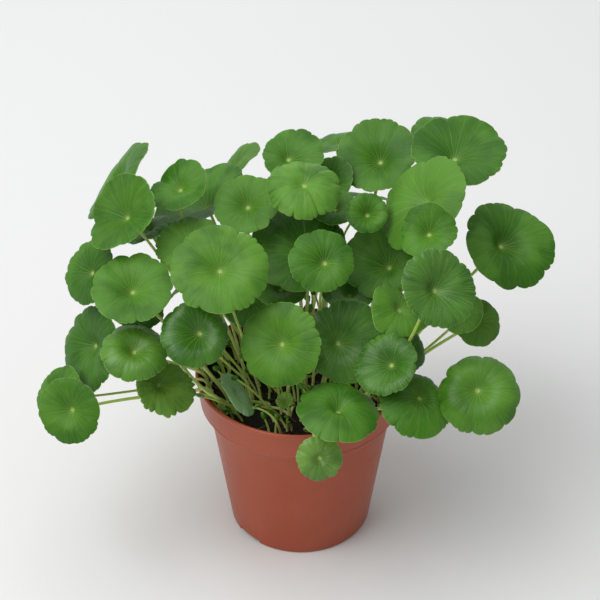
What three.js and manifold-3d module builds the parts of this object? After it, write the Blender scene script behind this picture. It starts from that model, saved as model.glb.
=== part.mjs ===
// Potted pennywort: round peltate leaves on slender petioles, in a 12 cm nursery pot.
// Millimetres, +Z up, origin at the middle of the pot's foot, +Y away from the front.
import * as THREE from 'three';
import { mergeVertices } from 'three/addons/utils/BufferGeometryUtils.js';
import Module from 'manifold-3d';

const wasm = await Module();
wasm.setup();

// ---- Pot and soil ------------------------------------------------------------
const POT_HEIGHT = 105;
const RIM_RADIUS = 60;
const COLLAR_RADIUS = 57.8;    // outside, at the collar's lower edge
const COLLAR_BOTTOM = 87;
const WALL_TOP_RADIUS = 52.4;  // where the tapered wall meets the collar's step
const WALL_TOP = 79.5;
const FOOT_RADIUS = 41.5;
const WALL = 1.2;
const LIP = 0.6;               // the rim's bevels and how far its bead stands proud
const FOOT_BEVEL = 1;
const ROUND_SIDES = 40;
const DRAIN_RADIUS = 4;
const DRAIN_CIRCLE = 18;
const DRAIN_COUNT = 5;
const DRAIN_SIDES = 16;
const SLOT_WIDTH = 17;
const SLOT_HEIGHT = 3;
const SLOT_DEPTH = 6;
const SLOT_DIRECTIONS = [222, 42];
const SOIL_TOP = 93;
const GAP = 0.3;               // between pieces that touch

// ---- Leaves --------------------------------------------------------------------
const BLADE_THICKNESS = 0.8;
const PETIOLE_RADIUS = 1.3;
const PETIOLE_SIDES = 3;
const PETIOLE_STEPS = 9;
const HOLE_RADIUS = PETIOLE_RADIUS + 2 * GAP;
const HOLE_SIDES = 6;
const ROOT_DEPTH = 7;          // how far a petiole stands in the soil
const ROOT_SPACING = 8.4;
const ROOT_CIRCLE = 51;        // petioles rise inside this radius
const LOBES = 10;
const FEW_LOBES = 8;           // on a leaf narrower than SMALL_LEAF
const SMALL_LEAF = 34;
const NOTCH = 0.05;            // depth of a notch between lobes, as a share of the radius
const DEEP_NOTCH = 0.12;
const WELL = 0.09;             // how far the navel is sunk, as a share of the radius
const RIPPLE = 0.03;
const WANDER = 0.14;           // how far a notch strays, as a share of a lobe
const MID_RING = 0.5;          // where a blade is bent between navel and rim

// One row a leaf: where its navel is, how wide it is, the way it faces (degrees from +X) and
// how far it tilts off level. cup is how far its rim stands above the navel, fold bends it
// about an axis, shift moves its outline off the navel, notch turns its deepest notch.
const LEAVES = [
  { at: [-100, 47, 203], width: 54, faces: 178, tilt: 51, cup: 1, shift: [2, 1] },
  { at: [-94, 8, 202], width: 46, faces: 214, tilt: 43, cup: 5, notch: 306 },
  { at: [-115, 2, 170], width: 37, faces: 220, tilt: 54, cup: 1 },
  { at: [-89, -28, 179], width: 44, faces: 269, tilt: 23, cup: 3 },
  { at: [-66, 27, 208], width: 35, faces: 220, tilt: 27, cup: 2, notch: 274 },
  { at: [-53, 46, 185], width: 58, faces: 179, tilt: 28, cup: 6, shift: [3, -5] },
  { at: [-37, 78, 193], width: 40, faces: 169, tilt: 44, cup: 0, shift: [2, 1] },
  { at: [-29, 18, 203], width: 37, faces: 252, tilt: 29, cup: 3 },
  { at: [-7, 51, 213], width: 35, faces: 256, tilt: 25, cup: 3, shift: [-2, 3] },
  { at: [2, 11, 221], width: 41, faces: 280, tilt: 19, cup: -3 },
  { at: [21, 98, 196], width: 32, faces: 146, tilt: 18, cup: 1 },
  { at: [45, 60, 206], width: 46, faces: 250, tilt: 36, cup: 5, shift: [-2, -2] },
  { at: [86, 51, 214], width: 54, faces: 269, tilt: 15, cup: 5, shift: [-2, 2], notch: 186 },
  { at: [17, 53, 196], width: 32, faces: 222, tilt: 48, cup: 2 },
  { at: [36, 9, 204], width: 23, faces: 266, tilt: 40, cup: 2 },
  { at: [67, 6, 213], width: 57, faces: 202, tilt: 46, cup: 0, shift: [2, -2] },
  { at: [66, -27, 215], width: 31, faces: 242, tilt: 37, cup: 1, fold: [3, 30] },
  { at: [111, 6, 187], width: 53, faces: 302, tilt: 35, cup: 3, shift: [2, 1], fold: [3, 60],
    notch: 349 },
  { at: [-42, -35, 197], width: 52, faces: 275, tilt: 30, cup: 2 },
  { at: [-61, 2, 187], width: 39, faces: 247, tilt: 18, cup: 2, shift: [-1, 1] },
  { at: [13, -26, 196], width: 35, faces: 277, tilt: 37, cup: 0, shift: [-1, -2] },
  { at: [4, 4, 180], width: 54, faces: 270, tilt: 25, cup: 2, shift: [-4, -6] },
  { at: [49, 4, 172], width: 43, faces: 265, tilt: 37, cup: 4, shift: [-3, -5] },
  { at: [69, -57, 200], width: 42, faces: 299, tilt: 44, cup: 5, notch: 191 },
  { at: [53, -32, 170], width: 34, faces: 329, tilt: 30, cup: -2, fold: [4, 0] },
  { at: [88, -30, 169], width: 24, faces: 226, tilt: 47, cup: 1, shift: [3, 0] },
  { at: [97, -15, 149], width: 28, faces: 297, tilt: 43, cup: -1 },
  { at: [92, -71, 147], width: 43, faces: 260, tilt: 39, cup: -4, shift: [2, 1], notch: 255 },
  { at: [64, -66, 139], width: 38, faces: 299, tilt: 28, cup: -4, shift: [3, -5], notch: 112 },
  { at: [47, -60, 155], width: 35, faces: 232, tilt: 35, cup: 3, shift: [2, -1] },
  { at: [59, -27, 139], width: 24, faces: 322, tilt: 49, cup: 0 },
  { at: [20, -33, 148], width: 45, faces: 268, tilt: 50, cup: 2, shift: [-1, 5] },
  { at: [-10, -54, 163], width: 45, faces: 249, tilt: 55, cup: 1, notch: 125 },
  { at: [20, -78, 140], width: 44, faces: 327, tilt: 9, cup: -3 },
  { at: [10, -80, 107], width: 25, faces: 269, tilt: 59, cup: -1, notch: 18 },
  { at: [-53, -46, 165], width: 36, faces: 276, tilt: 39, cup: 1, shift: [1, -3] },
  { at: [-87.5, -49.5, 156.5], width: 36, faces: 292, tilt: 21, cup: -2 },
  { at: [-88, -17, 156], width: 28, faces: 297, tilt: 9, cup: 1 },
  { at: [-114.5, -14, 132], width: 49, faces: 215, tilt: 62, cup: 2, shift: [2, 1], notch: 273 },
  { at: [-133, -31.5, 110], width: 35.5, faces: 214, tilt: 48, cup: 1 },
  { at: [-124.5, -51, 116], width: 37, faces: 248, tilt: 63, cup: 2, notch: 270 },
  { at: [-76, -47, 131], width: 33, faces: 310, tilt: 30, cup: 0, shift: [4, 2] },
  { at: [-35, -38, 116], width: 28, faces: 4, tilt: 51, cup: 1 },
  { at: [-11, -3, 163], width: 31, faces: 273, tilt: 11, cup: 2 },
  { at: [27, -1, 158], width: 31, faces: 257, tilt: 5, cup: 2 },
  { at: [-85, 32, 178], width: 27, faces: 168, tilt: 26, cup: 1 },
  { at: [76, 84, 212], width: 26, faces: 230, tilt: 14, cup: 1 },
  { at: [19, 26, 196.5], width: 26, faces: 267, tilt: 16, cup: 1 },
  { at: [-8, -40, 113], width: 10, faces: 240, tilt: 30, cup: 3 },
  { at: [-70, 78, 150], width: 44, faces: 130, tilt: 35, cup: 2 },
  { at: [-30, 100, 150], width: 46, faces: 105, tilt: 30, cup: 2 },
  { at: [20, 100, 158], width: 44, faces: 85, tilt: 30, cup: 2 },
  { at: [67, 86, 157], width: 44, faces: 60, tilt: 35, cup: 2 },
  { at: [-62, 62, 122], width: 42, faces: 140, tilt: 50, cup: 2 },
  { at: [-15, 84, 118], width: 44, faces: 100, tilt: 50, cup: 2 },
  { at: [38, 80, 120], width: 42, faces: 70, tilt: 50, cup: 2 },
  { at: [80, 58, 135], width: 44, faces: 40, tilt: 45, cup: 2 },
  { at: [-27, 4, 150], width: 36, faces: 262, tilt: 28, cup: 2 },
];

const UP = new THREE.Vector3(0, 0, 1);
const UP_Y = new THREE.Vector3(0, 1, 0);   // the way a new cylinder stands

// ---- Solids ----------------------------------------------------------------------
function toSolid(geometry) {
  const bare = geometry.index ? geometry.clone() : geometry;
  bare.deleteAttribute('normal');
  bare.deleteAttribute('uv');
  const merged = mergeVertices(bare);
  return new wasm.Manifold(new wasm.Mesh({
    numProp: 3,
    vertProperties: new Float32Array(merged.attributes.position.array),
    triVerts: new Uint32Array(merged.index.array),
  }));
}

function toGeometry(solid) {
  const mesh = solid.getMesh();
  const geometry = new THREE.BufferGeometry();
  geometry.setAttribute('position', new THREE.BufferAttribute(mesh.vertProperties, 3));
  geometry.setIndex(new THREE.BufferAttribute(mesh.triVerts, 1));
  geometry.computeVertexNormals();
  return geometry;
}

function turned(profile) {
  const points = profile.map(([radius, height]) => new THREE.Vector2(radius, height));
  return new THREE.LatheGeometry(points, ROUND_SIDES).rotateX(Math.PI / 2);
}

function polar(radius, degrees) {
  const angle = THREE.MathUtils.degToRad(degrees);
  return [radius * Math.cos(angle), radius * Math.sin(angle)];
}

// ---- Pot -------------------------------------------------------------------------
// Inside radius of the tapered wall or, above the step, of the collar.
function insideRadius(height) {
  const collar = height > COLLAR_BOTTOM;
  const [low, high] = collar ? [COLLAR_BOTTOM, POT_HEIGHT] : [0, WALL_TOP];
  const [from, to] = collar ? [COLLAR_RADIUS, RIM_RADIUS - LIP] : [FOOT_RADIUS, WALL_TOP_RADIUS];
  return THREE.MathUtils.mapLinear(height, low, high, from, to) - WALL;
}

function makePot() {
  const outside = [
    [0, 0],
    [FOOT_RADIUS - FOOT_BEVEL, 0],
    [FOOT_RADIUS, FOOT_BEVEL],
    [WALL_TOP_RADIUS, WALL_TOP],
    [COLLAR_RADIUS, COLLAR_BOTTOM],
    [RIM_RADIUS - LIP, POT_HEIGHT - 3 * LIP - 1],
    [RIM_RADIUS, POT_HEIGHT - 3 * LIP],
    [RIM_RADIUS, POT_HEIGHT - LIP],
    [RIM_RADIUS - LIP, POT_HEIGHT],
  ];
  const inside = [
    [RIM_RADIUS - LIP - WALL, POT_HEIGHT],
    [insideRadius(COLLAR_BOTTOM + LIP), COLLAR_BOTTOM + LIP],
    [WALL_TOP_RADIUS - WALL, WALL_TOP + LIP],
    [FOOT_RADIUS - WALL, WALL],
    [0, WALL],
  ];
  let pot = toSolid(turned([...outside, ...inside]));
  for (let hole = 0; hole < DRAIN_COUNT; hole++) {
    const drain = new THREE.CylinderGeometry(DRAIN_RADIUS, DRAIN_RADIUS, 3 * WALL, DRAIN_SIDES);
    const [x, y] = polar(DRAIN_CIRCLE, (hole * 360) / DRAIN_COUNT);
    pot = pot.subtract(toSolid(drain.rotateX(Math.PI / 2).translate(x, y, 0)));
  }
  for (const direction of SLOT_DIRECTIONS) {
    const slot = new THREE.BoxGeometry(SLOT_DEPTH, SLOT_WIDTH, 2 * SLOT_HEIGHT);
    slot.translate(FOOT_RADIUS, 0, 0).rotateZ(THREE.MathUtils.degToRad(direction));
    pot = pot.subtract(toSolid(slot));
  }
  return toGeometry(pot);
}

// A plain blind hole, bored along the lean of the petiole that stands in it.
function makeHole([foot, collar]) {
  const lean = collar.clone().sub(foot);
  const hole = new THREE.CylinderGeometry(HOLE_RADIUS, HOLE_RADIUS, 3 * ROOT_DEPTH, HOLE_SIDES);
  hole.translate(0, 1.5 * ROOT_DEPTH - GAP, 0);
  const turn = new THREE.Quaternion().setFromUnitVectors(UP_Y, lean.normalize());
  return toSolid(hole.applyQuaternion(turn).translate(foot.x, foot.y, foot.z));
}

// The mix takes the pot's inside, less the gap.
function makeSoil(petioles) {
  const profile = [
    [0, WALL + GAP],
    [insideRadius(WALL) - 2 * GAP, WALL + GAP],
    [insideRadius(WALL_TOP) - GAP, WALL_TOP + LIP],
    [insideRadius(COLLAR_BOTTOM) - 2 * GAP, COLLAR_BOTTOM + 2 * LIP],
    [insideRadius(SOIL_TOP) - GAP, SOIL_TOP],
    [0, SOIL_TOP],
  ];
  const holes = wasm.Manifold.union(petioles.map(makeHole));
  return toGeometry(toSolid(turned(profile)).subtract(holes));
}

// ---- Blades ------------------------------------------------------------------------
function frameOf(leaf) {
  const faces = THREE.MathUtils.degToRad(leaf.faces);
  const tilt = THREE.MathUtils.degToRad(leaf.tilt);
  const across = new THREE.Vector3(-Math.sin(faces), Math.cos(faces), 0);
  const normal = new THREE.Vector3(
    Math.sin(tilt) * Math.cos(faces),
    Math.sin(tilt) * Math.sin(faces),
    Math.cos(tilt),
  );
  const down = new THREE.Vector3().crossVectors(across, normal);
  return { navel: new THREE.Vector3(...leaf.at), down, across, normal };
}

// The outline without its notches: a circle whose middle is off the navel.
function outline(leaf, angle) {
  const [down, across] = leaf.shift ?? [0, 0];
  return leaf.width / 2 + down * Math.cos(angle) + across * Math.sin(angle);
}

// Height of the blade over its navel plane, at a share of the outline's radius.
function rise(leaf, share, angle) {
  const [fold, foldAt] = leaf.fold ?? [0, 0];
  const bend = fold * Math.cos(2 * (angle - THREE.MathUtils.degToRad(foldAt)));
  const ripple = ((RIPPLE * leaf.width) / 2) * Math.sin(3 * angle + leaf.at[0]);
  const well = ((WELL * leaf.width) / 2) * Math.sin(Math.PI * share);
  return well + (leaf.cup + bend + ripple) * share ** 2;
}

function lobesOf(leaf) {
  return leaf.width < SMALL_LEAF ? FEW_LOBES : LOBES;
}

function lobeAngle(leaf, lobe) {
  const lobes = lobesOf(leaf);
  const wander = WANDER * Math.sin(2.4 * (lobe % lobes) + leaf.at[1]);
  const start = THREE.MathUtils.degToRad(leaf.notch ?? leaf.at[0] * LOBES);
  return start + ((lobe + wander) * 2 * Math.PI) / lobes;
}

// Three rim points to a lobe: the notch at its start, and the two shoulders of its arc.
function rimPoint(leaf, index) {
  const lobe = Math.floor(index / 3);
  const along = (index % 3) / 3;
  const angle = THREE.MathUtils.lerp(lobeAngle(leaf, lobe), lobeAngle(leaf, lobe + 1), along);
  const depth = lobe === 0 ? DEEP_NOTCH : NOTCH;
  return [index % 3 === 0 ? 1 - depth : 1, angle];
}

function makeBlade(leaf) {
  const { navel, down, across, normal } = frameOf(leaf);
  const positions = [];
  const indices = [];
  const place = ([share, angle], side) => {
    const radius = share * outline(leaf, angle);
    const height = rise(leaf, share, angle) + (side * BLADE_THICKNESS) / 2;
    const point = navel.clone().addScaledVector(down, radius * Math.cos(angle));
    point.addScaledVector(across, radius * Math.sin(angle)).addScaledVector(normal, height);
    positions.push(point.x, point.y, point.z);
  };
  const lobes = lobesOf(leaf);
  const rimCount = 3 * lobes;
  const faceCount = 1 + lobes + rimCount;
  for (const side of [1, -1]) {
    place([0, 0], side);
    for (let lobe = 0; lobe < lobes; lobe++) place([MID_RING, lobeAngle(leaf, lobe)], side);
    for (let index = 0; index < rimCount; index++) place(rimPoint(leaf, index), side);
  }
  const ring = (lobe) => 1 + (lobe % lobes);
  const rim = (index) => 1 + lobes + (index % rimCount);
  for (let lobe = 0; lobe < lobes; lobe++) {
    const first = 3 * lobe;
    const faces = [
      [0, ring(lobe), ring(lobe + 1)],
      [ring(lobe), rim(first), rim(first + 1)],
      [ring(lobe), rim(first + 1), ring(lobe + 1)],
      [ring(lobe + 1), rim(first + 1), rim(first + 2)],
      [ring(lobe + 1), rim(first + 2), rim(first + 3)],
    ];
    for (const [a, b, c] of faces) {
      indices.push(a, b, c, faceCount + a, faceCount + c, faceCount + b);
    }
  }
  for (let index = 0; index < rimCount; index++) {
    const [a, b] = [rim(index), rim(index + 1)];
    indices.push(a, faceCount + a, faceCount + b, a, faceCount + b, b);
  }
  const geometry = new THREE.BufferGeometry();
  geometry.setAttribute('position', new THREE.Float32BufferAttribute(positions, 3));
  geometry.setIndex(indices);
  return geometry;
}

// ---- Petioles ----------------------------------------------------------------------
const SAMPLES = 28;
const ROUNDS = 110;
const LAST_ROUNDS = 4;         // these only part what touches, and don't smooth
const CLEAR = 3.8;             // middle to middle, between two petioles
const BLADE_CLEAR = 2.6;       // petiole's middle to another leaf's blade
const BLADE_REACH = 12;        // how far from a blade a petiole starts to go round it
const EDGE_SHARE = 1.14;       // a petiole that goes round a blade stays outside this share
const SIDESTEP = 0.5;
const ROOT_SPREAD = 0.5;       // a root's distance from the middle to its navel's
const UPRIGHT = 0.55;          // 0: a petiole starts straight at its blade, 1: straight up
const SOCKET = 22;             // longest stretch over which a petiole turns square to its blade
const FIXED = 3;               // points at a petiole's root that stay where they are

// Petioles fan out: each rises from the place in the pot that its leaf leans away from, and
// roots that fall too near one another are moved apart.
function makeRoots() {
  const roots = LEAVES.map(({ at: [x, y] }, index) => {
    const reach = Math.min(ROOT_SPREAD * Math.hypot(x, y), ROOT_CIRCLE);
    const [dx, dy] = polar(reach, THREE.MathUtils.radToDeg(Math.atan2(y, x)));
    return new THREE.Vector2(dx + Math.sin(7 * index), dy + Math.cos(7 * index));
  });
  for (let round = 0; round < ROUNDS; round++) {
    roots.forEach((root, index) => {
      for (const other of roots.slice(0, index)) {
        const apart = root.clone().sub(other);
        const lack = ROOT_SPACING - apart.length();
        if (lack > 0) {
          apart.setLength(lack / 2);
          root.add(apart);
          other.sub(apart);
        }
      }
    });
    roots.forEach((root) => root.clampLength(0, ROOT_CIRCLE));
  }
  return roots.map((root) => [root.x, root.y]);
}

// A petiole leaves the mix with half the lean of the way to its blade, and meets it square.
function startPetiole(leaf, [x, y]) {
  const { navel, normal } = frameOf(leaf);
  const collar = new THREE.Vector3(x, y, SOIL_TOP);
  const reach = collar.distanceTo(navel);
  const lean = navel.clone().sub(collar).normalize().lerp(UP, UPRIGHT).normalize();
  const arch = new THREE.CubicBezierCurve3(
    collar,
    collar.clone().addScaledVector(lean, 0.35 * reach),
    navel.clone().addScaledVector(normal, -Math.min(0.3 * reach, SOCKET)),
    navel,
  );
  const foot = collar.clone().addScaledVector(lean, -ROOT_DEPTH);
  return [foot, ...arch.getSpacedPoints(SAMPLES)];
}

// Where a point of a petiole stands to a blade: its share of the outline and its height.
function standing(point, leaf, frame) {
  const offset = point.clone().sub(frame.navel);
  const [down, across] = [offset.dot(frame.down), offset.dot(frame.across)];
  const angle = Math.atan2(across, down);
  const share = Math.hypot(down, across) / outline(leaf, angle);
  const height = offset.dot(frame.normal) - rise(leaf, Math.min(share, 1), angle);
  const outward = frame.down.clone().multiplyScalar(down).addScaledVector(frame.across, across);
  return { share, height, outward: outward.normalize() };
}

function clearOfBlade(petiole, leaf, frame) {
  const near = [];
  const far = EDGE_SHARE * leaf.width / 2 + BLADE_REACH;
  for (const point of petiole.slice(FIXED, -FIXED)) {
    if (point.distanceTo(frame.navel) > far) continue;
    const stand = standing(point, leaf, frame);
    const close = stand.share < EDGE_SHARE && Math.abs(stand.height) < BLADE_REACH;
    if (close) near.push({ point, ...stand });
  }
  const pierces = near.some((one) => one.height > 0) && near.some((one) => one.height < 0);
  for (const { point, height, outward } of near) {
    if (pierces) point.addScaledVector(outward, SIDESTEP);
    else if (Math.abs(height) < BLADE_CLEAR) {
      point.addScaledVector(frame.normal, Math.sign(height) * (BLADE_CLEAR - Math.abs(height)));
    }
  }
}

function clearOfPetiole(petiole, other) {
  for (const point of petiole.slice(FIXED, -1)) {
    for (const neighbour of other.slice(FIXED, -1)) {
      const lack = CLEAR - point.distanceTo(neighbour);
      if (lack > 0) {
        const apart = point.clone().sub(neighbour).setLength(lack / 2);
        point.add(apart);
        neighbour.sub(apart);
      }
    }
  }
}

// Over the rim a petiole passes above it, and inside it stays off the wall.
function clearOfPot(petiole) {
  for (const point of petiole.slice(2)) {
    const radius = Math.hypot(point.x, point.y);
    const lack = POT_HEIGHT + BLADE_CLEAR - point.z;
    const overRim = Math.abs(radius - RIM_RADIUS) < 2 * BLADE_CLEAR;
    if (overRim && lack > 0) point.z += lack;
  }
}

function ease(petiole) {
  const before = petiole.map((point) => point.clone());
  for (let index = FIXED; index < petiole.length - 2; index++) {
    const middle = before[index - 1].clone().add(before[index + 1]).multiplyScalar(0.5);
    petiole[index].lerp(middle, 0.3);
  }
}

function makePetioles(roots) {
  const petioles = LEAVES.map((leaf, index) => startPetiole(leaf, roots[index]));
  const frames = LEAVES.map(frameOf);
  for (let round = 0; round < ROUNDS; round++) {
    petioles.forEach((petiole, index) => {
      if (round < ROUNDS - LAST_ROUNDS) ease(petiole);
      petioles.slice(0, index).forEach((other) => clearOfPetiole(petiole, other));
      LEAVES.forEach((leaf, other) => {
        if (other !== index) clearOfBlade(petiole, leaf, frames[other]);
      });
      clearOfPot(petiole);
    });
  }
  return petioles;
}

function makeTube(points) {
  const section = new THREE.Shape();
  for (let side = 0; side < PETIOLE_SIDES; side++) {
    const [x, y] = polar(PETIOLE_RADIUS, (side * 360) / PETIOLE_SIDES);
    if (side === 0) section.moveTo(x, y);
    else section.lineTo(x, y);
  }
  return new THREE.ExtrudeGeometry(section, {
    steps: PETIOLE_STEPS,
    extrudePath: new THREE.CatmullRomCurve3(points),
    bevelEnabled: false,
  });
}

// ---- The plant in its pot ------------------------------------------------------------
const terracotta = { color: 0x9b4e3a, roughness: 0.45, metalness: 0 };
const darkMix = { color: 0x2b2018, roughness: 0.95, metalness: 0 };
const leafGreen = { color: 0x46822d, roughness: 0.4, metalness: 0 };

function addPiece(group, name, geometry, finish) {
  const mesh = new THREE.Mesh(geometry, new THREE.MeshStandardMaterial(finish));
  mesh.name = name;
  group.add(mesh);
}

const group = new THREE.Group();
const petioles = makePetioles(makeRoots());
addPiece(group, 'pot', makePot(), terracotta);
addPiece(group, 'soil', makeSoil(petioles), darkMix);
petioles.forEach((petiole, index) => {
  const leaf = toSolid(makeBlade(LEAVES[index])).add(toSolid(makeTube(petiole)));
  addPiece(group, `leaf_${String(index + 1).padStart(2, '0')}`, toGeometry(leaf), leafGreen);
});

export default group;
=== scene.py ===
"""Dresses the potted pennywort: a thin nursery pot, its potting mix, every round leaf on its
petiole, and the young shoots and runners between them. Metres, +Z up, in the frame of the
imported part. Each leaf is worked out from its own solid, so it keeps the solid's place, outline
and bend, and gains lobes, veins and a rim."""
import math
import random
from types import SimpleNamespace

import bmesh
import bpy
import numpy as np
from mathutils import Matrix, Vector, noise
from mathutils.bvhtree import BVHTree


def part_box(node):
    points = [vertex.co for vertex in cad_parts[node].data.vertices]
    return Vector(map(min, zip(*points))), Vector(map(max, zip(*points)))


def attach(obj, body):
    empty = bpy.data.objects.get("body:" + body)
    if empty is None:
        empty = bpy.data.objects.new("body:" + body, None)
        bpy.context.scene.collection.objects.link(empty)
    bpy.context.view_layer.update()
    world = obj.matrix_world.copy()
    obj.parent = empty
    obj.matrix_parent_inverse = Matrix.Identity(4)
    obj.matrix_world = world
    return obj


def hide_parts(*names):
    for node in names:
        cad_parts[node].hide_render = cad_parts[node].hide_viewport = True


bl_info = {
    "name": "Potted Pennywort",
    "version": (1, 0, 0),
    "blender": (4, 5, 0),
    "location": "3D View > Sidebar > Pennywort",
    "description": "Builds the pot, the potting mix, the leaves and the stage of a pennywort",
    "category": "Object",
}

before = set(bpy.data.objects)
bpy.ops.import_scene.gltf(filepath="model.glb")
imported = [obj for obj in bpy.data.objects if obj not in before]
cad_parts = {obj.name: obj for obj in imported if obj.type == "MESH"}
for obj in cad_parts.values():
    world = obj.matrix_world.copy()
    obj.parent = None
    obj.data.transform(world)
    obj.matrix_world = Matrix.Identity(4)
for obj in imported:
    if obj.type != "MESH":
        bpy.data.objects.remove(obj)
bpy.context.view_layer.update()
POT_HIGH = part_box("pot")[1]
MIX_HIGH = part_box("soil")[1]
LEAF_NODES = sorted(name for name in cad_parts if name.startswith("leaf_"))
MM = 0.001
TINY = 0.01 * MM               # distances of this order are too small to matter

# What sets a leaf apart from the rest. tone: below 0 darker, above 0 lighter, above 1 pale;
# besides each leaf's own shade of green it holds painted shade on leaves that lie in shadow
# and painted light on leaves that lie in shade but look lit. warmth: towards yellow. crinkle:
# how much deeper its folds are. sink: millimetres that the navel lies deeper. mouth: how wide
# that funnel is, as a share of the blade. roll: millimetres that the rim curls down, or up
# below 0. grain: how strong its fine radiating texture is, with its streaks of painted sheen.
# grey: how much its upper side looks like its underside, and above 1 silvery, which is partly
# painted light on a leaf in shade. gloss: above 0 shinier. crease: how far its halves rise
# from a fold at its deepest notch, as a share of its radius.
PLAIN_LEAF = dict(tone=-0.2, warmth=0.1, crinkle=0.0, sink=2.0, mouth=0.3, roll=0.4, grain=1.0,
                  grey=0.0, gloss=0.0, crease=0.0)
TRAITS = {
    "leaf_01": dict(tone=-0.1, grain=0.6),
    "leaf_02": dict(tone=0.05, warmth=0.25, crease=0.28, sink=1.5, grain=1.3),
    "leaf_03": dict(tone=-0.5),
    "leaf_04": dict(tone=0.35, sink=2.5, mouth=0.35),
    "leaf_05": dict(tone=-0.15, crease=0.32, sink=1.5, roll=-0.5),
    "leaf_06": dict(tone=0.0),
    "leaf_07": dict(tone=-0.3, crease=0.15, grey=0.3),
    "leaf_08": dict(tone=0.1, sink=2.5, mouth=0.35, grey=0.2),
    "leaf_09": dict(tone=-0.1, sink=1.5),
    "leaf_10": dict(tone=0.9, crinkle=1.6, roll=1.5, grain=1.4),
    "leaf_11": dict(tone=-0.4),
    "leaf_12": dict(tone=0.15, warmth=0.2, roll=0.5, grain=0.5),
    "leaf_13": dict(tone=-0.25, sink=2.0, mouth=0.4),
    "leaf_14": dict(tone=-0.8),
    "leaf_15": dict(tone=-0.2, sink=4.5, mouth=0.42, roll=1.2),
    "leaf_16": dict(tone=0.0, warmth=0.05, grain=0.8, grey=0.35),
    "leaf_17": dict(tone=0.3, sink=3.5, mouth=0.4, crinkle=0.5, crease=0.12),
    "leaf_18": dict(tone=-0.45, warmth=0.15, sink=5.5, mouth=0.32, roll=1.2),
    "leaf_19": dict(tone=0.55, warmth=0.3, roll=1.2, grain=0.8),
    "leaf_20": dict(tone=0.8, crinkle=1.2, grain=1.4, grey=0.25),
    "leaf_21": dict(tone=0.1, sink=3.0, mouth=0.35, roll=0.8),
    "leaf_22": dict(tone=-0.5, warmth=0.2),
    "leaf_23": dict(tone=-0.35, warmth=0.2),
    "leaf_24": dict(tone=-0.6, crinkle=0.6, grain=2.4, sink=2.5, mouth=0.35, roll=1.8, gloss=1.0),
    "leaf_25": dict(tone=0.15, warmth=0.4),
    "leaf_26": dict(tone=0.4, warmth=0.4),
    "leaf_27": dict(tone=-0.7, warmth=0.6),
    "leaf_28": dict(tone=0.35, warmth=0.35, sink=5.0, mouth=0.4, roll=3.0, gloss=0.3),
    "leaf_29": dict(tone=0.0, warmth=0.15, sink=5.0, mouth=0.35, roll=1.0),
    "leaf_30": dict(tone=-0.3, crinkle=1.2, grain=1.8, sink=3.0, mouth=0.4, roll=1.5, gloss=0.7),
    "leaf_31": dict(tone=-0.6),
    "leaf_32": dict(tone=-0.2, grain=2.0, sink=3.0, mouth=0.35, gloss=0.8),
    "leaf_33": dict(tone=0.15, warmth=0.45, grain=0.7),
    "leaf_34": dict(tone=0.0, sink=4.5, mouth=0.18, roll=0.5, grain=0.5),
    "leaf_35": dict(tone=1.15, warmth=0.5, crinkle=0.6, grain=1.6, gloss=1.2),
    "leaf_36": dict(tone=-0.1, sink=3.5, mouth=0.45, roll=2.0, gloss=1.0),
    "leaf_37": dict(tone=0.6, warmth=0.4, sink=4.0, mouth=0.36, roll=2.0, gloss=1.0),
    "leaf_38": dict(tone=-0.5),
    "leaf_39": dict(tone=-0.6, grain=1.2),
    "leaf_40": dict(tone=-0.1, warmth=0.2),
    "leaf_41": dict(tone=0.0, warmth=0.3, sink=3.0, mouth=0.4, roll=0.8),
    "leaf_42": dict(tone=1.3, warmth=1.0, crinkle=3.5, grain=2.0),
    "leaf_43": dict(tone=1.0, grain=0.6, grey=1.7),
    "leaf_49": dict(tone=1.3, warmth=0.7, crinkle=2.5, grain=2.0),
}


# ---- Sizes and colours that a maker may change --------------------------------------------------
def number(name, description, default, **more):
    return bpy.props.FloatProperty(name=name, description=description, default=default, **more)


def length(name, description, default):
    """A size in metres, with its unit."""
    return number(name, description, default, unit="LENGTH", precision=5)


def share(name, description, default):
    """A number from 0 to 1."""
    return number(name, description, default, min=0, max=1)


def count(name, description, default, least=0):
    return bpy.props.IntProperty(name=name, description=description, default=default, min=least)


def vector(name, description, default, **more):
    return bpy.props.FloatVectorProperty(
        name=name, description=description, default=default, size=3, **more
    )


def colour(name, description, default):
    """A linear colour, without its alpha."""
    return vector(name, description, default, subtype="COLOR", min=0, max=1)


class PotSettings(bpy.types.PropertyGroup):
    sides: count("Sides", "Facets round the pot", 144, 48)
    fillet: length("Fillet", "Radius of the pot's rounded edges", 0.5 * MM)
    seam_depth: length("Seam depth", "Groove at the lower edge of the collar", 0.25 * MM)
    seam_width: length("Seam width", "Width of that groove", 0.4 * MM)
    drains: count("Drains", "Drain holes in the floor", 5)
    drain_circle: length("Drain circle", "Radius of the circle of drain holes", 18 * MM)
    drain_radius: length("Drain radius", "Radius of a drain hole", 4 * MM)
    slots: count("Slots", "Slots through the edge of the foot", 2)
    slot_size: vector("Slot size", "Depth, width and height of a slot",
                      (7 * MM, 17 * MM, 6 * MM), subtype="XYZ", unit="LENGTH")
    slot_turn: number("Slot turn", "Where the first slot stands", math.radians(42.5),
                      subtype="ANGLE")
    plastic: colour("Plastic", "Terracotta-coloured plastic", (0.34, 0.047, 0.008))
    faded: colour("Faded plastic", "Where the plastic is scuffed and pale", (0.41, 0.095, 0.042))
    dust: colour("Dust", "Fine specks on the plastic", (0.62, 0.36, 0.26))
    roughness: share("Roughness", "Satin finish of the plastic", 0.42)


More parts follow.
